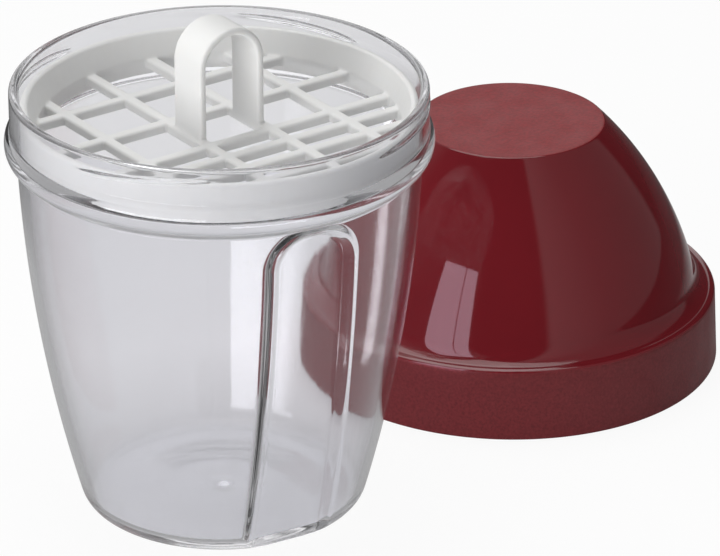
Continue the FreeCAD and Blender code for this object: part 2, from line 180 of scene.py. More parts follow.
class StageSettings(bpy.types.PropertyGroup):
    """Camera, floor and studio light."""

    camera_turn: angle("Camera turn", "Turn of the camera about the vertical", -29.2)
    camera_tilt: angle("Camera tilt", "How far the camera looks down", 25.47)
    camera_place: FloatVectorProperty(
        name="Camera place", description="Where the camera stands", default=(-0.5527, -1.0588, 0.6270),
        subtype="TRANSLATION", unit="LENGTH",
    )
    lens: FloatProperty(name="Lens", description="Focal length in millimetres", default=268.7)
    floor_reach: length("Floor reach", "Half width of the floor", 4000.0)
    paper_white: level("Paper white", "Brightness of the floor's paper", 0.9)
    # Painted shadow: the floor's paper is coloured darker round the beaker's foot
    paper_in_painted_shadow: level("Paper shaded", "The same under the clear base, which turns light aside", 0.74)
    painted_shadow_reach: length("Shade reach", "How far from the beaker's axis that shade ends", 85.0)
    floor_glow: level("Floor glow", "Share of the floor's own white in what is seen of it", 0.92)
    floor_mirrored: level("Floor mirrored", "Brightness of the near floor in a mirroring surface", 0.45)
    floor_far: level("Floor far", "Brightness of the far floor in a mirroring surface", 0.04)
    floor_through: level("Floor through", "Brightness of the floor through a clear surface", 1.0)
    floor_share: level("Floor share", "Share of that in what is seen through a clear surface", 0.12)
    floor_inside: level("Floor inside", "Brightness of the floor in what a clear wall mirrors", 0.36)
    # Painted pool of light: in mirroring surfaces the floor glows only this near the object
    painted_pool_reach: length("Pool reach", "How far from the object the floor is lit", 180.0)
    painted_pool_edge: length("Pool edge", "Half the width of the lit floor's soft edge", 30.0)
    clear_lift: level("Clear lift", "How far clear surfaces brighten the surroundings", 0.35)
    mirrored_lift: level("Mirrored lift", "The same for what is also mirrored on its way", 0.10)
    overhead_light: level("Overhead light", "Radiance of the lamp above", 2.4)
    key_light: level("Key light", "Radiance of the main lamp", 8.4)
    fill_light: level("Fill light", "Radiance of the lamp at the left", 0.8)
    panel_light: level("Panel light", "Radiance of the panels before the wall and by the dome", 3.8)
    flank_light: level("Flank light", "Radiance of the panel that lights the right flank", 0.30)
    bounces: IntProperty(
        name="Bounces", description="How often light may turn inside a clear wall", default=32
    )


class Section:
    """A half section of a turned piece: runs between corners, given as (radius, height)."""

    PATH_STEP = 0.02 * MM
    ARC_STEP = 0.1 * MM
    ARC_LEAST = 4
    CORNER_STEPS = 10

    def __init__(self, start):
        self.path = [np.array(start, float)]
        self.corners = [0]
        self.radii = [0.0]
        self.steps = []
        self.regions = []

    def run(self, points, step, region, rounding):
        self.path.extend(np.array(point, float) for point in points)
        self.corners.append(len(self.path) - 1)
        self.radii.append(rounding)
        self.steps.append(step)
        self.regions.append(region)

    def line(self, stop, step, region, rounding=0.0):
        self.run([stop], step, region, rounding)

    def arc(self, stop, radius, side, step, region, rounding=0.0):
        """An arc that bulges to the right of its way for side 1, and to the left for side -1."""
        start = self.path[-1]
        stop = np.array(stop, float)
        centre = arc_centre(start, stop, radius, side)
        first = math.atan2(*(start - centre)[::-1])
        sweep = math.atan2(*(stop - centre)[::-1]) - first
        sweep = (sweep + math.pi) % FULL_TURN - math.pi
        count = max(self.ARC_LEAST, math.ceil(abs(sweep) * radius / self.ARC_STEP))
        turns = first + sweep * np.arange(1, count + 1) / count
        points = centre + radius * np.column_stack([np.cos(turns), np.sin(turns)])
        self.run(points, step, region, rounding)

    def rows(self):
        """Places (radius, height) along the section with its corners rounded, and their regions.

        A corner is rounded by averaging the path over a window as long as the round's tangents.
        """
        path = np.array(self.path)
        along = np.concatenate([[0.0], np.cumsum(np.hypot(*np.diff(path, axis=0).T))])
        fine = np.linspace(0.0, along[-1], int(along[-1] / self.PATH_STEP))
        spots = np.column_stack([np.interp(fine, along, path[:, k]) for k in (0, 1)])
        halves = (spots[1:] + spots[:-1]) / 2 * np.diff(fine)[:, None]
        summed = np.concatenate([np.zeros((1, 2)), np.cumsum(halves, axis=0)])
        marks = along[self.corners]
        reaches = [self.tangent(path, corner, radius) for corner, radius in zip(self.corners, self.radii)]
        stations = []
        for index, (step, region) in enumerate(zip(self.steps, self.regions)):
            start = marks[index] + reaches[index]
            stop = marks[index + 1] - reaches[index + 1]
            count = max(1, math.ceil((stop - start) / step))
            stations += [(s, 0.0, region) for s in np.linspace(start, stop, count + 1)[:-1]]
            reach = reaches[index + 1]
            if reach == 0.0:
                continue
            after = self.regions[index + 1]
            for share in np.linspace(-1.0, 1.0, self.CORNER_STEPS + 1)[:-1]:
                stations.append((marks[index + 1] + share * reach, reach, region if share < 0 else after))
        stations.append((along[-1], 0.0, self.regions[-1]))
        places = np.array([self.averaged(fine, spots, summed, s, reach) for s, reach, _ in stations])
        return places, [region for _, _, region in stations]

    @staticmethod
    def tangent(path, corner, radius):
        if radius == 0.0:
            return 0.0
        before, after = path[corner] - path[corner - 1], path[corner + 1] - path[corner]
        cosine = before @ after / (np.hypot(*before) * np.hypot(*after))
        return radius * math.tan(math.acos(max(-1.0, min(1.0, cosine))) / 2)

    @staticmethod
    def averaged(fine, spots, summed, station, reach):
        if reach == 0.0:
            return [np.interp(station, fine, spots[:, k]) for k in (0, 1)]
        low, high = station - reach, station + reach
        return [
            (np.interp(high, fine, summed[:, k]) - np.interp(low, fine, summed[:, k])) / (2 * reach)
            for k in (0, 1)
        ]


def arc_centre(start, stop, radius, side):
    chord = stop - start
    size = np.hypot(*chord)
    right = np.array([chord[1], -chord[0]]) / size
    return (start + stop) / 2 - right * side * math.sqrt(radius ** 2 - (size / 2) ** 2)


def smooth_larger(first, second, blend):
    """The larger of two values, with a rounded change from one to the other."""
    gap = first - second
    return (first + second + np.sqrt(gap ** 2 + blend ** 2)) / 2


def eased(share):
    """Rises from 0 to 1 with a soft start and end."""
    share = np.clip(share, 0.0, 1.0)
    return share * share * (3.0 - 2.0 * share)


def rows_of(regions, name):
    return np.array([region == name for region in regions])


def turned_piece(name, grid, bands, materials, centre=(0.0, 0.0, 0.0)):
    """A closed mesh from a grid of places, rows by columns; its first and last rows are points.

    bands gives each row's material number, for the faces that lead to the next row.
    """
    rows, columns = grid.shape[:2]
    inner = grid[1:-1].reshape(-1, 3)
    points = np.concatenate([grid[:1, 0], inner, grid[-1:, 0]]) + np.array(centre)
    ring = np.arange(columns)
    after = (ring + 1) % columns
    last = len(points) - 1
    faces = np.column_stack([1 + ring, 1 + after, np.zeros(columns, int)])[:, ::-1].tolist()
    numbers = [bands[0]] * columns
    for row in range(rows - 3):
        low = 1 + row * columns
        high = low + columns
        faces += np.column_stack([low + ring, low + after, high + after, high + ring]).tolist()
        numbers += [bands[row + 1]] * columns
    low = 1 + (rows - 3) * columns
    faces += np.column_stack([low + ring, low + after, np.full(columns, last)]).tolist()
    numbers += [bands[-2]] * columns
    mesh = bpy.data.meshes.new(name)
    mesh.from_pydata(points.tolist(), [], faces)
    mesh.polygons.foreach_set("material_index", numbers)
    mesh.polygons.foreach_set("use_smooth", [True] * len(faces))
    mesh.update()
    for material in materials:
        mesh.materials.append(material)
    piece = bpy.data.objects.new(name, mesh)
    bpy.context.scene.collection.objects.link(piece)
    return piece


def new_material(name):
    """A material, its node tree and the shader that it starts with."""
    material = bpy.data.materials.new(name)
    material.use_nodes = True
    tree = material.node_tree
    return material, tree, tree.nodes["Principled BSDF"]


def add_node(tree, kind, **values):
    """A node whose settings are given by name."""
    node = tree.nodes.new(kind)
    for name, value in values.items():
        setattr(node, name, value)
    return node


def set_inputs(tree, node, values):
    """Gives a node's inputs plain values, or links them to other nodes' outputs."""
    for name, value in values.items():
        if isinstance(value, bpy.types.NodeSocket):
            tree.links.new(value, node.inputs[name])
        else:
            node.inputs[name].default_value = value


def remap(tree, source, low, high, start=0.0, stop=1.0):
    """Goes from low to high while the source goes from start to stop."""
    node = add_node(tree, "ShaderNodeMapRange")
    set_inputs(tree, node, {
        "Value": source, "From Min": start, "From Max": stop, "To Min": low, "To Max": high,
    })
    return node.outputs["Result"]


def combined(tree, operation, first, second):
    node = add_node(tree, "ShaderNodeMath", operation=operation)
    set_inputs(tree, node, {0: first, 1: second})
    return node.outputs[0]


def mixed_surface(tree, share, first, second):
    """Makes a mix of two shaders the material's surface; share is the second one's."""
    mix = add_node(tree, "ShaderNodeMixShader")
    set_inputs(tree, mix, {0: share, 1: first, 2: second})
    set_inputs(tree, tree.nodes["Material Output"], {"Surface": mix.outputs["Shader"]})


def noise(tree, waves, detail, stretch=(1.0, 1.0, 1.0)):
    """Noise in the piece's own coordinates; waves is their number in a metre."""
    place = add_node(tree, "ShaderNodeTexCoord")
    mapping = add_node(tree, "ShaderNodeMapping")
    set_inputs(tree, mapping, {"Vector": place.outputs["Object"], "Scale": stretch})
    texture = add_node(tree, "ShaderNodeTexNoise")
    set_inputs(tree, texture, {"Vector": mapping.outputs["Vector"], "Scale": waves, "Detail": detail})
    return texture.outputs["Fac"]


def spread(tree, source, low, high):
    """Maps the middle of a noise to a range of values."""
    return remap(tree, source, low, high, NOISE_LOW, NOISE_HIGH)


def relief(tree, source, depth):
    """A fine relief of a given depth in metres."""
    node = add_node(tree, "ShaderNodeBump")
    set_inputs(tree, node, {"Height": source, "Distance": depth})
    return node.outputs["Normal"]


def tinted(tree, source, base, swing):
    """A colour that drifts a little lighter and darker with a noise."""
    darker = [part * (1.0 - swing) for part in base]
    lighter = [min(1.0, part * (1.0 + swing)) for part in base]
    node = add_node(tree, "ShaderNodeMix", data_type="RGBA")
    set_inputs(tree, node, {"Factor": source, "A": (*darker, 1.0), "B": (*lighter, 1.0)})
    return node.outputs["Result"]


def clear_plastic(base, shade):
    """Polished clear plastic with faint upright flow lines; lamps shine through it."""
    material, tree, shader = new_material("clear_plastic")
    flow = noise(tree, waves=260.0, detail=2.0, stretch=(1.0, 1.0, 0.06))
    haze = noise(tree, waves=900.0, detail=3.0)
    set_inputs(tree, shader, {
        "Base Color": (*base, 1.0),
        "Transmission Weight": 1.0,
        "IOR": CLEAR_IOR,
        "Roughness": spread(tree, haze, low=0.03, high=0.06),
        "Normal": relief(tree, flow, depth=0.012 * MM),
    })
    passed = add_node(tree, "ShaderNodeBsdfTransparent")
    set_inputs(tree, passed, {"Color": (*shade, 1.0)})
    to_lamp = add_node(tree, "ShaderNodeLightPath").outputs["Is Shadow Ray"]
    mixed_surface(tree, to_lamp, shader.outputs["BSDF"], passed.outputs["BSDF"])
    return material


def satin_plastic(base):
    """White moulded plastic with a satin skin."""
    material, tree, shader = new_material("white_plastic")
    drift = noise(tree, waves=60.0, detail=2.0)
    grain = noise(tree, waves=2600.0, detail=2.0)
    set_inputs(tree, shader, {
        "Base Color": tinted(tree, drift, base, swing=0.015),
        "IOR": PLASTIC_IOR,
        "Subsurface Weight": 0.12,
        "Subsurface Radius": (1.0, 0.9, 0.8),
        "Subsurface Scale": 0.8 * MM,
        "Roughness": spread(tree, grain, low=0.30, high=0.42),
        "Normal": relief(tree, grain, depth=0.01 * MM),
    })
    return material


def gloss_red(base):
    """Polished red plastic with a trace of waviness from the mould."""
    material, tree, shader = new_material("red_plastic_gloss")
    drift = noise(tree, waves=40.0, detail=2.0)
    wave = noise(tree, waves=90.0, detail=1.0)
    haze = noise(tree, waves=700.0, detail=3.0)
    set_inputs(tree, shader, {
        "Base Color": tinted(tree, drift, base, swing=0.04),
        "IOR": PLASTIC_IOR,
        "Roughness": spread(tree, haze, low=0.05, high=0.09),
        "Normal": relief(tree, wave, depth=0.015 * MM),
    })
    return material


def grained_red(name, base, depth, waves):
    """Red plastic with the fine matt grain of an eroded mould."""
    material, tree, shader = new_material(name)
    grain = noise(tree, waves, detail=2.0)
    patch = noise(tree, waves=120.0, detail=3.0)
    specks = spread(tree, grain, low=0.0, high=1.0)
    set_inputs(tree, shader, {
        "Base Color": tinted(tree, specks, base, swing=0.18),
        "IOR": PLASTIC_IOR,
        "Specular IOR Level": 0.35,
        "Roughness": spread(tree, patch, low=0.48, high=0.58),
        "Normal": relief(tree, grain, depth),
    })
    return material


class BeakerShape:
    """The beaker's section and what is pressed into and raised from it."""

    # Distances between the rows of the mesh
    FLAT_STEP = 2.0 * MM
    FOOT_STEP = 1.0 * MM
    WALL_STEP = 1.5 * MM
    ARCH_STEP = 0.25 * MM
    EDGE_STEP = 0.4 * MM
    RIB_STEP = 0.2 * MM
    BORE_STEP = 0.7 * MM
    GATE_STEP = 0.1 * MM
    GATE_TOP_STEP = 0.3 * MM
    # Columns: their spacing, the share of a full ring of them beside the flute's own, and the
    # radius below which rows keep their bearings
    COLUMN = math.radians(1.0)
    PLAIN_SHARE = 0.9
    STILL_RADIUS = 32.0 * MM
    # Columns across the flute: from, to and step, in millimetres from its middle
    FLUTE_STATIONS = ((0.0, 2.4, 0.6), (2.4, 8.7, 0.3), (8.7, 14.1, 0.15), (14.1, 16.1, 0.4))
    # Roundings of the recess, the ledge's two edges and the moulding mark
    RECESS_ROUND = 60.0 * MM
    LEDGE_ROUND = 0.4 * MM
    LEDGE_LIP = 0.5 * MM
    GATE_ROUND = 2.0 * MM
    # Rows are close together down to this many corner radii below the arch
    ARCH_REACH = 1.3
    # Share of the flute's sloped edge that lies outside its outline
    EDGE_OUTSIDE = 0.25
    # Shares of a rib's length in which it rises at its start and falls off at its end
    RIB_START = 0.3
    RIB_END = 0.5

    def __init__(self, sizes):
        self.sizes = sizes
        self.bead = sizes.body_top_radius + sizes.bead_stand
        self.neck = self.bead - sizes.neck_step
        self.bead_height = RIM_HEIGHT - sizes.bead_drop
        self.body_top = self.bead_height - self.bead_rise(sizes.bead_stand)
        self.neck_foot = self.bead_height + self.bead_rise(sizes.neck_step)
        self.foot = np.array([sizes.base_radius, 0.0])
        self.shoulder = np.array([sizes.body_top_radius, self.body_top])
        self.wall_centre = arc_centre(self.foot, self.shoulder, sizes.wall_bow, 1)

    def bead_rise(self, inset):
        return math.sqrt(self.sizes.bead_round ** 2 - (self.sizes.bead_round - inset) ** 2)

    def wall_radius(self, height):
        """Outer radius of the bowed wall's line at a height."""
        drop = np.minimum(height, self.body_top) - self.wall_centre[1]
        return self.wall_centre[0] + np.sqrt(self.sizes.wall_bow ** 2 - drop ** 2)

    def section(self):
        """From the middle of the underside, up outside, over the rim and down to the floor's middle."""
        sizes = self.sizes
        bow = sizes.wall_bow
        recess = sizes.base_radius - sizes.base_corner - sizes.foot_width
        arch_foot = RIM_HEIGHT - sizes.flute_drop - self.ARCH_REACH * sizes.flute_round
        arch_radius = self.wall_radius(arch_foot)
        neck_foot = (self.neck, self.neck_foot)
        bore = self.neck - sizes.wall
        inner_top = sizes.body_top_radius - sizes.wall
        ledge = RIM_HEIGHT - sizes.ledge_drop
        floor = sizes.foot_recess + sizes.floor
        inner_foot = (self.wall_radius(floor) - sizes.wall, floor)
        gate_top = floor + sizes.gate_height
        section = Section((0.0, sizes.foot_recess))
        section.line((recess / 2, sizes.foot_recess), self.FLAT_STEP, "under", self.RECESS_ROUND)
        section.line((recess, 0.0), self.FOOT_STEP, "under", self.RECESS_ROUND)
        section.line(self.foot, self.FOOT_STEP, "wall", sizes.base_corner)
        section.arc((arch_radius, arch_foot), bow, 1, self.WALL_STEP, "wall")
        section.arc(self.shoulder, bow, 1, self.ARCH_STEP, "wall", sizes.bead_blend)
        section.arc(neck_foot, sizes.bead_round, 1, self.EDGE_STEP, "bead", sizes.bead_blend)
        section.line((self.neck, RIM_HEIGHT), self.RIB_STEP, "neck", sizes.rim_round)
        section.line((bore, RIM_HEIGHT), self.RIB_STEP, "rim", sizes.rim_round)
        section.line((bore, ledge), self.BORE_STEP, "bore", self.LEDGE_ROUND)
        section.line((inner_top, ledge), self.EDGE_STEP, "bore", self.LEDGE_LIP)
        section.line((inner_top, self.body_top), self.EDGE_STEP, "inside")
        section.arc((arch_radius - sizes.wall, arch_foot), bow, -1, self.ARCH_STEP, "inside")
        section.arc(inner_foot, bow, -1, self.WALL_STEP, "inside", sizes.inner_corner)
        section.line((2 * sizes.gate_radius, floor), self.WALL_STEP, "inside", self.GATE_ROUND)
        section.line((sizes.gate_radius / 2, gate_top), self.GATE_STEP, "inside", self.GATE_ROUND)
        section.line((0.0, gate_top), self.GATE_TOP_STEP, "inside")
        return section.rows()

    def columns(self, radii):
        """Bearings from the flute's middle, for each row; close together at the flute's edges."""
        runs = [np.arange(low, high - step / 2, step) for low, high, step in self.FLUTE_STATIONS]
        half = np.concatenate(runs) * MM
        across = np.concatenate([-half[:0:-1], half])
        reach = np.maximum(radii, self.STILL_RADIUS)[:, None]
        near = np.arcsin(across[None, :] / reach)
        edge = near[:, -1:]
        count = round(FULL_TURN / self.COLUMN * self.PLAIN_SHARE)
        far = edge + (FULL_TURN - 2 * edge) * np.arange(1, count)[None, :] / count
        return np.concatenate([near, far], axis=1)

    def flute_share(self, across, height, margin, edge):
        """0 outside the arch, 1 inside it, and rising across its sloped edge."""
        sizes = self.sizes
        bend = sizes.flute_round + margin
        side = np.abs(across) - (sizes.flute_width / 2 + margin - bend)
        top = height - (RIM_HEIGHT - sizes.flute_drop + margin - bend)
        distance = np.hypot(np.maximum(side, 0.0), np.maximum(top, 0.0)) - bend
        distance += np.minimum(np.maximum(side, top), 0.0)
        return eased(self.EDGE_OUTSIDE - distance / edge)

    def rib_radius(self, bearing, height):
        """How far the thread ribs reach at each place round the neck."""
        sizes = self.sizes
        slope = (sizes.rib_height + sizes.rib_root) / ((sizes.rib_base - sizes.rib_tip) / 2)
        reach = np.zeros_like(bearing)
        for start in range(sizes.starts):
            turned = bearing - sizes.rib_bearing - start * FULL_TURN / sizes.starts
            share = np.mod(turned, FULL_TURN) / sizes.rib_span
            middle = RIM_HEIGHT - sizes.rib_drop + sizes.rib_rise * share
            beside = np.abs(height - middle) - sizes.rib_tip / 2
            swell = eased(share / self.RIB_START) * eased((1.0 - share) / self.RIB_END)
            crest = self.neck + sizes.rib_height - sizes.rib_fade * (1.0 - swell)
            crest = crest - smooth_larger(beside, 0.0, CREST_BLEND) * slope
            reach = np.maximum(reach, np.where(share < 1.0, crest, 0.0))
        return reach

    def grid(self):
        """Places of the mesh, rows by columns, with the ribs raised and the flute pressed in."""
        sizes = self.sizes
        places, regions = self.section()
        bearings = self.columns(places[:, 0])
        radii = np.repeat(places[:, :1], bearings.shape[1], axis=1)
        heights = np.repeat(places[:, 1:], bearings.shape[1], axis=1)
        neck = rows_of(regions, "neck")
        ribs = self.rib_radius(bearings[neck] - math.pi / 2, heights[neck])
        radii[neck] = smooth_larger(radii[neck], ribs, ROOT_BLEND)
        x = radii * np.sin(bearings)
        y = -radii * np.cos(bearings)
        faces = (
            ("wall", 0.0, 0.0, sizes.flute_edge),
            ("inside", sizes.wall, sizes.swell_margin, sizes.swell_edge),
        )
        for side, depth, margin, edge in faces:
            rows = rows_of(regions, side)
            floor = sizes.flute_depth + depth - self.wall_radius(heights[rows])
            share = self.flute_share(x[rows], heights[rows], margin, edge)
            y[rows] += share * np.maximum(floor - y[rows], 0.0)
        return np.stack([x, y, heights], axis=2)


class LidShape:
    """The lid's section and the thread lugs inside its collar."""

    COLUMNS = 240
    # Distances between the rows of the mesh
    CEILING_STEP = 2.0 * MM
    PLAIN_STEP = 1.5 * MM
    CURVE_STEP = 0.8 * MM
    LEDGE_STEP = 0.4 * MM
    LIP_STEP = 0.3 * MM
    LUG_STEP = 0.2 * MM
    # Roundings inside the dome and at the collar's closed end
    DOME_ROUND = 0.8 * MM
    THROAT_ROUND = 0.4 * MM
    # Each end of a lug: its share of the lug's length, and how far it sinks into the collar
    LUG_END = 0.1
    LUG_SINK = 3.0 * MM
    # A radius that is never reached, where there is no lug
    NO_LUG = 1.0

    def __init__(self, sizes):
        self.sizes = sizes

    def section(self):
        """From the inside of the top, down, round the open edge and up outside to the top's middle."""
        sizes = self.sizes
        bow = sizes.dome_bow
        depth = sizes.skirt_depth
        collar_height = depth + sizes.ledge_wall
        collar_edge = sizes.throat_radius + sizes.collar_edge
        dome_base = collar_edge - sizes.dome_ledge
        dome_foot = (dome_base, collar_height + sizes.dome_flare)
        ceiling = LID_HEIGHT - sizes.wall
        ceiling_edge = (sizes.dome_top_radius - sizes.wall / 2, ceiling)
        outer_lip = (sizes.mouth_radius + sizes.wall, 0.0)
        top_edge = (sizes.dome_top_radius, LID_HEIGHT)
        section = Section((0.0, ceiling))
        section.line(ceiling_edge, self.CEILING_STEP, "inside", self.DOME_ROUND)
        section.arc((dome_base - sizes.wall, depth), bow, -1, self.PLAIN_STEP, "inside", self.DOME_ROUND)
        section.line((sizes.throat_radius, depth), self.CURVE_STEP, "inside", self.THROAT_ROUND)
        section.line((sizes.mouth_radius, 0.0), self.LUG_STEP, "skirt", sizes.lip_round)
        section.line(outer_lip, self.LIP_STEP, "collar", sizes.lip_round)
        section.line((collar_edge, collar_height), self.CURVE_STEP, "collar", sizes.collar_round)
        section.line(dome_foot, self.LEDGE_STEP, "dome", sizes.dome_blend)
        section.arc(top_edge, bow, 1, self.CURVE_STEP, "dome", sizes.dome_round)
        section.line((0.0, LID_HEIGHT), self.PLAIN_STEP, "top")
        return section.rows()

    def grid(self):
        """Places of the mesh, rows by columns, with the lugs raised, and each row's region."""
        sizes = self.sizes
        places, regions = self.section()
        bearings = np.linspace(0.0, FULL_TURN, self.COLUMNS + 1)[None, :-1]
        radii = np.repeat(places[:, :1], self.COLUMNS, axis=1)
        heights = np.repeat(places[:, 1:], self.COLUMNS, axis=1)
        skirt = rows_of(regions, "skirt")
        slope = (sizes.mouth_radius - sizes.lug_crest) / ((sizes.lug_base - sizes.lug_tip) / 2)
        for lug in range(sizes.lugs):
            share = np.mod(bearings - lug * FULL_TURN / sizes.lugs, FULL_TURN) / sizes.lug_span
            middle = sizes.lug_height + sizes.lug_rise * share
            beside = np.abs(heights[skirt] - middle) - sizes.lug_tip / 2
            crest = sizes.lug_crest + smooth_larger(beside, 0.0, CREST_BLEND) * slope
            ends = eased(share / self.LUG_END) * eased((1.0 - share) / self.LUG_END)
            crest = np.where(ends > 0.0, crest + self.LUG_SINK * (1.0 - ends), self.NO_LUG)
            radii[skirt] = -smooth_larger(-radii[skirt], -crest, ROOT_BLEND)
        return np.stack([radii * np.cos(bearings), radii * np.sin(bearings), heights], axis=2), regions


def moulded_copy(node, name, sizes):
    """A copy of a solid with the softly rounded edges of a moulding."""
    mesh = node.data.copy()
    mesh.transform(Matrix.Rotation(-sizes.turn, 4, "Z"))
    piece = bpy.data.objects.new(name, mesh)
    bpy.context.scene.collection.objects.link(piece)
    skin = piece.modifiers.new("moulded skin", "REMESH")
    skin.mode = "VOXEL"
    skin.voxel_size = sizes.grain
    soften = piece.modifiers.new("soft edges", "SMOOTH")
    soften.factor = sizes.softness
    soften.iterations = sizes.softening
    shown = piece.evaluated_get(bpy.context.evaluated_depsgraph_get())
    finished = bpy.data.meshes.new_from_object(shown)
    piece.modifiers.clear()
    piece.data = finished
    finished.transform(Matrix.Rotation(sizes.turn, 4, "Z"))
    finished.polygons.foreach_set("use_smooth", [True] * len(finished.polygons))
    finished.update()
    return piece


def hand_over(piece, body, node):
    """Puts a piece on its body, in the place of a solid."""
    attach(piece, body)
    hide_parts(node)


class SHAKER_OT_beaker(bpy.types.Operator):
    """Build the clear beaker with its thread ribs, bead and grip flute"""

    bl_idname = "shaker.beaker"
    bl_label = "Beaker"

    def execute(self, context):
        scene = context.scene
        grid = BeakerShape(scene.shaker_beaker).grid()
        finishes = scene.shaker_finishes
        plastic = clear_plastic(finishes.clear, finishes.clear_shade)
        piece = turned_piece("clear_beaker", grid, [0] * len(grid), [plastic])
        hand_over(piece, "beaker", "beaker")
        return {"FINISHED"}


class SHAKER_OT_strainer(bpy.types.Operator):
    """Build the strainer grid with its strap handle"""

    bl_idname = "shaker.strainer"
    bl_label = "Strainer"

    def execute(self, context):
        scene = context.scene
        piece = moulded_copy(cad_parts["strainer"], "strainer_grid", scene.shaker_strainer)
        piece.data.materials.clear()
        piece.data.materials.append(satin_plastic(scene.shaker_finishes.white))
        hand_over(piece, "strainer", "strainer")
        return {"FINISHED"}


class SHAKER_OT_lid(bpy.types.Operator):
    """Build the domed screw lid"""

    bl_idname = "shaker.lid"
    bl_label = "Lid"

    # Number of each region's plastic in the list below
    FINISH = {"inside": 0, "skirt": 0, "collar": 1, "dome": 0, "top": 2}

    def execute(self, context):
        scene = context.scene
        grid, regions = LidShape(scene.shaker_lid).grid()
        finishes = scene.shaker_finishes
        plastics = [
            gloss_red(finishes.red),
            grained_red("red_plastic_collar", finishes.collar_red, depth=0.03 * MM, waves=1500.0),
            grained_red("red_plastic_top", finishes.top_red, depth=0.05 * MM, waves=1250.0),
        ]
        bands = [self.FINISH[region] for region in regions]
        middle = (LID_CENTRE.x, LID_CENTRE.y, 0.0)
        piece = turned_piece("domed_lid", grid, bands, plastics, middle)
        hand_over(piece, "lid", "lid")
        return {"FINISHED"}


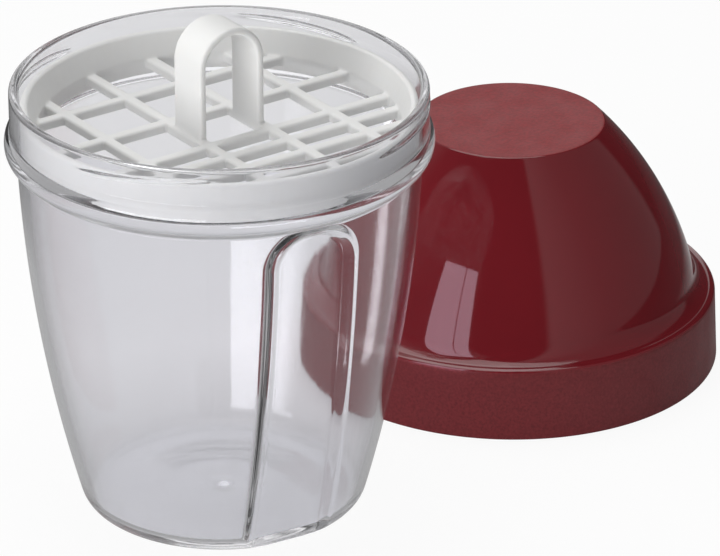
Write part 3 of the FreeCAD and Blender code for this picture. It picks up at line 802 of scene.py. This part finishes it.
class Studio:
    """The floor, the surroundings, the lamps and the camera."""

    FLOOR_GAP = 0.1 * MM
    SENSOR_WIDTH = 36.0
    # Brightness of the surroundings round the object, from bearing -180 to 180
    SURROUNDINGS = (
        (-180, 1.0), (-150, 1.0), (-120, 0.50), (-95, 0.12), (-24, 0.08), (20, 0.08), (24, 0.62),
        (60, 0.36), (124, 0.28), (128, 0.05), (163, 0.05), (166, 1.0), (180, 1.0),
    )
    # Panels before the clear wall: bearing, and lower and upper edge in millimetres
    WALL_PANELS = ((-14.5, 11.5, 23.8), (-32.5, 11.8, 22.0), (-50.5, 8.6, 20.5))
    WALL_PANEL_WIDTH = 63.5 * MM
    WALL_PANEL_DISTANCE = 200.0 * MM
    # The panel behind the beaker that lights its right flank sends its light out narrowly
    FLANK_SPREAD = math.radians(50.0)
    # Panels by the dome: their middle, their bearing, their height, and for each the step to the
    # right and the width in millimetres
    BY_DOME = Vector((54.8, -0.8, 36.0)) * MM
    DOME_BEARING = -37.7
    DOME_PANEL_HEIGHT = 31.0 * MM
    DOME_PANELS = ((-3.0, 11.0), (5.9, 6.0))
    DOME_TINT = (1.0, 0.8, 0.97)

    def __init__(self, settings):
        self.settings = settings
        turn = settings.camera_turn
        self.towards = Vector((math.sin(turn), -math.cos(turn), 0.0))
        self.right = Vector((math.cos(turn), math.sin(turn), 0.0))

    def place(self, bearing, distance, height):
        """A place round the beaker: bearing 0 is towards the camera, and positive to its right."""
        turn = math.radians(bearing)
        flat = self.towards * math.cos(turn) + self.right * math.sin(turn)
        return flat * distance + Vector((0.0, 0.0, height))

    def floor(self):
        reach = self.settings.floor_reach
        mesh = bpy.data.meshes.new("floor")
        corners = [(-reach, -reach, 0.0), (reach, -reach, 0.0), (reach, reach, 0.0), (-reach, reach, 0.0)]
        mesh.from_pydata(corners, [], [(0, 1, 2, 3)])
        material, tree, shader = new_material("floor_white")
        tree.nodes.remove(shader)
        paper = add_node(tree, "ShaderNodeBsdfDiffuse")
        set_inputs(tree, paper, {"Color": self.painted_shadow_paper(tree)})
        share, brightness = self.floor_white(tree)
        glow = add_node(tree, "ShaderNodeEmission")
        set_inputs(tree, glow, {"Strength": brightness})
        mixed_surface(tree, share, paper.outputs["BSDF"], glow.outputs["Emission"])
        mesh.materials.append(material)
        floor = bpy.data.objects.new("floor", mesh)
        floor.location.z = -self.FLOOR_GAP
        bpy.context.scene.collection.objects.link(floor)

    def painted_shadow_paper(self, tree):
        """White paper with a painted shadow: a little darker round the beaker's foot, where the clear
        base turns lamp light aside.
        """
        settings = self.settings
        # Painted shadow: darker paper near the beaker's axis, fading out by the reach
        away = self.distance(tree, (0.0, 0.0, 0.0))
        reach = settings.painted_shadow_reach
        return remap(tree, away, settings.paper_in_painted_shadow, settings.paper_white, reach / 2, reach)

    def floor_white(self, tree):
        """The share of own white in what is seen of the floor, and how bright that white is.

        It is white to the camera and to matt surfaces behind a clear wall, darker in what such a wall
        mirrors, and in a mirroring surface it glows only near the object: a painted pool of light.
        """
        settings = self.settings
        path = add_node(tree, "ShaderNodeLightPath").outputs
        straight = path["Is Camera Ray"]
        through = path["Is Transmission Ray"]
        mirrored = path["Glossy Depth"]
        seen = combined(tree, "MAXIMUM", straight, through)
        seen = combined(tree, "MAXIMUM", seen, path["Is Glossy Ray"])
        lit = remap(tree, path["Diffuse Depth"], 0.0, settings.floor_glow)
        shown = remap(tree, mirrored, settings.floor_share, settings.floor_glow)
        shown = combined(tree, "MAXIMUM", shown, lit)
        share = remap(tree, through, settings.floor_glow, shown)
        inside = remap(tree, mirrored, settings.floor_through, settings.floor_inside)
        inside = combined(tree, "MAXIMUM", inside, lit)
        # Painted pool of light: the floor's glow in mirroring surfaces fades out away from the object
        away = self.distance(tree, (LID_CENTRE.x / 2, LID_CENTRE.y / 2, 0.0))
        start = settings.painted_pool_reach - settings.painted_pool_edge
        stop = settings.painted_pool_reach + settings.painted_pool_edge
        painted_light_pool = remap(tree, away, settings.floor_mirrored, settings.floor_far, start, stop)
        brightness = remap(tree, straight, remap(tree, through, painted_light_pool, inside), 1.0)
        return combined(tree, "MULTIPLY", seen, share), brightness

    @staticmethod
    def distance(tree, place):
        """How far a point of the floor lies from a place."""
        here = add_node(tree, "ShaderNodeTexCoord").outputs["Object"]
        away = add_node(tree, "ShaderNodeVectorMath", operation="DISTANCE")
        set_inputs(tree, away, {0: here, 1: place})
        return away.outputs["Value"]

    @staticmethod
    def unscattered(tree):
        """1 for a ray that no matt surface has scattered, and 0 for others."""
        path = add_node(tree, "ShaderNodeLightPath")
        return combined(tree, "LESS_THAN", path.outputs["Diffuse Depth"], 0.5)

    def surroundings(self):
        """White to the camera, brighter through clear walls, and otherwise dim with lit sides."""
        settings = self.settings
        world = bpy.data.worlds.new("studio")
        bpy.context.scene.world = world
        world.use_nodes = True
        tree = world.node_tree
        place = add_node(tree, "ShaderNodeTexCoord").outputs["Generated"]
        parts = []
        for axis in (self.right, self.towards):
            dot = add_node(tree, "ShaderNodeVectorMath", operation="DOT_PRODUCT")
            set_inputs(tree, dot, {0: place, 1: axis})
            parts.append(dot.outputs["Value"])
        bearing = combined(tree, "ARCTAN2", *parts)
        ramp = add_node(tree, "ShaderNodeValToRGB")
        set_inputs(tree, ramp, {"Fac": remap(tree, bearing, 0.0, 1.0, -math.pi, math.pi)})
        stops = ramp.color_ramp.elements
        while len(stops) < len(self.SURROUNDINGS):
            stops.new(0.5)
        for stop, (degrees, brightness) in zip(stops, self.SURROUNDINGS):
            stop.position = (degrees + 180) / 360
            stop.color = (brightness, brightness, brightness, 1.0)
        path = add_node(tree, "ShaderNodeLightPath").outputs
        through = combined(tree, "MULTIPLY", path["Is Transmission Ray"], self.unscattered(tree))
        amount = remap(tree, path["Glossy Depth"], settings.clear_lift, settings.mirrored_lift)
        lift = combined(tree, "MULTIPLY", through, amount)
        white = combined(tree, "MAXIMUM", path["Is Camera Ray"], lift)
        choice = add_node(tree, "ShaderNodeMix", data_type="RGBA")
        set_inputs(tree, choice, {"Factor": white, "A": ramp.outputs["Color"], "B": (1.0, 1.0, 1.0, 1.0)})
        set_inputs(tree, tree.nodes["Background"], {"Color": choice.outputs["Result"]})

    def lamp(self, name, place, target, width, height, radiance):
        """A rectangular soft lamp, which isn't seen through clear surfaces."""
        data = bpy.data.lights.new(name, "AREA")
        data.shape = "RECTANGLE"
        data.size = width
        data.size_y = height
        data.energy = radiance * math.pi * width * height
        lamp = bpy.data.objects.new(name, data)
        lamp.location = place
        lamp.rotation_euler = (target - place).to_track_quat("-Z", "Y").to_euler()
        lamp.visible_camera = False
        lamp.visible_transmission = False
        bpy.context.scene.collection.objects.link(lamp)
        return lamp

    def wall_panel(self, place, target, width, height, radiance):
        """A lit panel that only shows through clear walls and in what they mirror."""
        panel = self.lamp("wall_panel", place, target, width, height, radiance)
        panel.visible_transmission = True
        panel.visible_diffuse = False
        panel.visible_glossy = False
        panel.data.use_nodes = True
        tree = panel.data.node_tree
        set_inputs(tree, tree.nodes["Emission"], {"Strength": self.unscattered(tree)})
        return panel

    def dome_panel(self, place, width):
        """A lit panel by the lid that only shows in its polished dome."""
        target = place - self.place(self.DOME_BEARING, 1.0, 0.0)
        radiance = self.settings.panel_light
        panel = self.lamp("dome_panel", place, target, width, self.DOME_PANEL_HEIGHT, radiance)
        panel.visible_diffuse = False
        panel.data.color = self.DOME_TINT

    def lamps(self):
        settings = self.settings
        middle = Vector((0.0, 0.0, 0.06))
        above = self.place(bearing=-150, distance=0.25, height=1.0)
        self.lamp("overhead", above, middle, width=0.9, height=0.7, radiance=settings.overhead_light)
        front = self.place(bearing=-35, distance=0.55, height=0.14)
        key = self.lamp("key", front, middle, width=0.35, height=0.25, radiance=settings.key_light)
        key.visible_glossy = False
        for bearing, low, high in self.WALL_PANELS:
            height = (low + high) / 2 * MM
            place = self.place(bearing, self.WALL_PANEL_DISTANCE, height)
            axis = Vector((0.0, 0.0, height))
            self.wall_panel(place, axis, self.WALL_PANEL_WIDTH, (high - low) * MM, settings.panel_light)
        behind = self.place(bearing=-152.6, distance=0.078, height=0.029)
        right_flank = self.place(bearing=118.3, distance=0.0458, height=0.065)
        flank = self.wall_panel(
            behind, right_flank, width=0.016, height=0.050, radiance=settings.flank_light
        )
        flank.data.spread = self.FLANK_SPREAD
        beside = self.place(bearing=-85, distance=0.6, height=0.2)
        fill = self.lamp("fill", beside, middle, width=0.4, height=0.4, radiance=settings.fill_light)
        fill.visible_glossy = False
        across = self.place(self.DOME_BEARING + 90.0, 1.0, 0.0)
        for step, width in self.DOME_PANELS:
            self.dome_panel(self.BY_DOME + across * step * MM, width * MM)

    def camera(self):
        settings = self.settings
        data = bpy.data.cameras.new("camera")
        data.lens = settings.lens
        data.sensor_width = self.SENSOR_WIDTH
        camera = bpy.data.objects.new("camera", data)
        camera.location = settings.camera_place
        camera.rotation_euler = (math.pi / 2 - settings.camera_tilt, 0.0, settings.camera_turn)
        bpy.context.scene.collection.objects.link(camera)
        bpy.context.scene.camera = camera


class SHAKER_OT_stage(bpy.types.Operator):
    """Set the floor, the studio light and the camera"""

    bl_idname = "shaker.stage"
    bl_label = "Stage"

    def execute(self, context):
        scene = context.scene
        settings = scene.shaker_stage
        scene.view_settings.view_transform = "Standard"
        scene.cycles.max_bounces = settings.bounces
        scene.cycles.glossy_bounces = settings.bounces
        scene.cycles.transmission_bounces = settings.bounces
        studio = Studio(settings)
        studio.floor()
        studio.surroundings()
        studio.lamps()
        studio.camera()
        return {"FINISHED"}


class SHAKER_PT_panel(bpy.types.Panel):
    """Lists the pieces and the stage"""

    bl_idname = "SHAKER_PT_panel"
    bl_label = "Shaker"
    bl_space_type = "VIEW_3D"
    bl_region_type = "UI"
    bl_category = "Shaker"

    def draw(self, context):
        for operator in OPERATORS:
            self.layout.operator(operator.bl_idname)


GROUPS = {
    "shaker_beaker": BeakerSizes,
    "shaker_strainer": StrainerSizes,
    "shaker_lid": LidSizes,
    "shaker_finishes": Finishes,
    "shaker_stage": StageSettings,
}
OPERATORS = (SHAKER_OT_beaker, SHAKER_OT_strainer, SHAKER_OT_lid, SHAKER_OT_stage)


def register():
    for name, group in GROUPS.items():
        bpy.utils.register_class(group)
        setattr(bpy.types.Scene, name, PointerProperty(type=group))
    for item in (*OPERATORS, SHAKER_PT_panel):
        bpy.utils.register_class(item)


def unregister():
    for item in reversed((*OPERATORS, SHAKER_PT_panel)):
        bpy.utils.unregister_class(item)
    for name, group in reversed(GROUPS.items()):
        delattr(bpy.types.Scene, name)
        bpy.utils.unregister_class(group)


def main():
    register()
    bpy.ops.shaker.beaker()
    bpy.ops.shaker.strainer()
    bpy.ops.shaker.lid()
    bpy.ops.shaker.stage()


if __name__ == "__main__":
    main()
